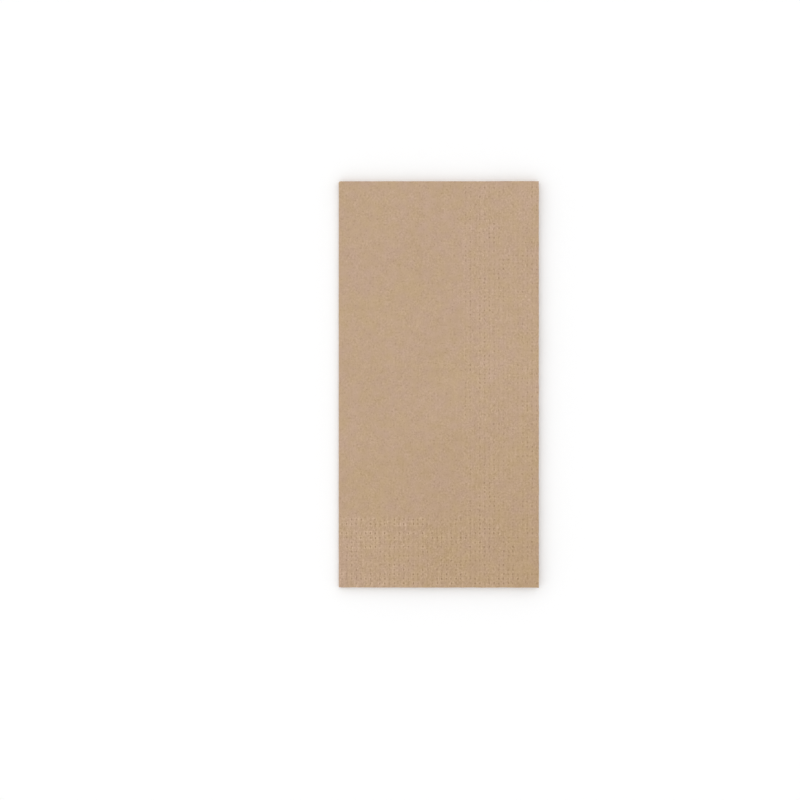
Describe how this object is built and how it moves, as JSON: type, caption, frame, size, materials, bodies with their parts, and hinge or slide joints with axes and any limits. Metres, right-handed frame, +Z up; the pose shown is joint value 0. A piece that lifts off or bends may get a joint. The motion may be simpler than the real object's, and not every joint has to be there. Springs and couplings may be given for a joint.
{
  "type": "paper napkin",
  "caption": "Plain brown tissue dinner napkin folded flat to a long rectangle, with a pressed dot border along its cut edges, for wiping hands and setting a table.",
  "frame": {"origin": "middle of the footprint, on the underside that rests on the table", "axes": "+X across the napkin towards the cut edges, +Y along it towards the folded end, +Z up out of the top face"},
  "size_m": [0.0984, 0.2, 0.0027],
  "materials": {
    "paper": "unbleached brown two-ply crepe tissue, matt, with a pressed dot border"
  },
  "bodies": {
    "root": {"napkin": "paper"}
  },
  "joints": []
}
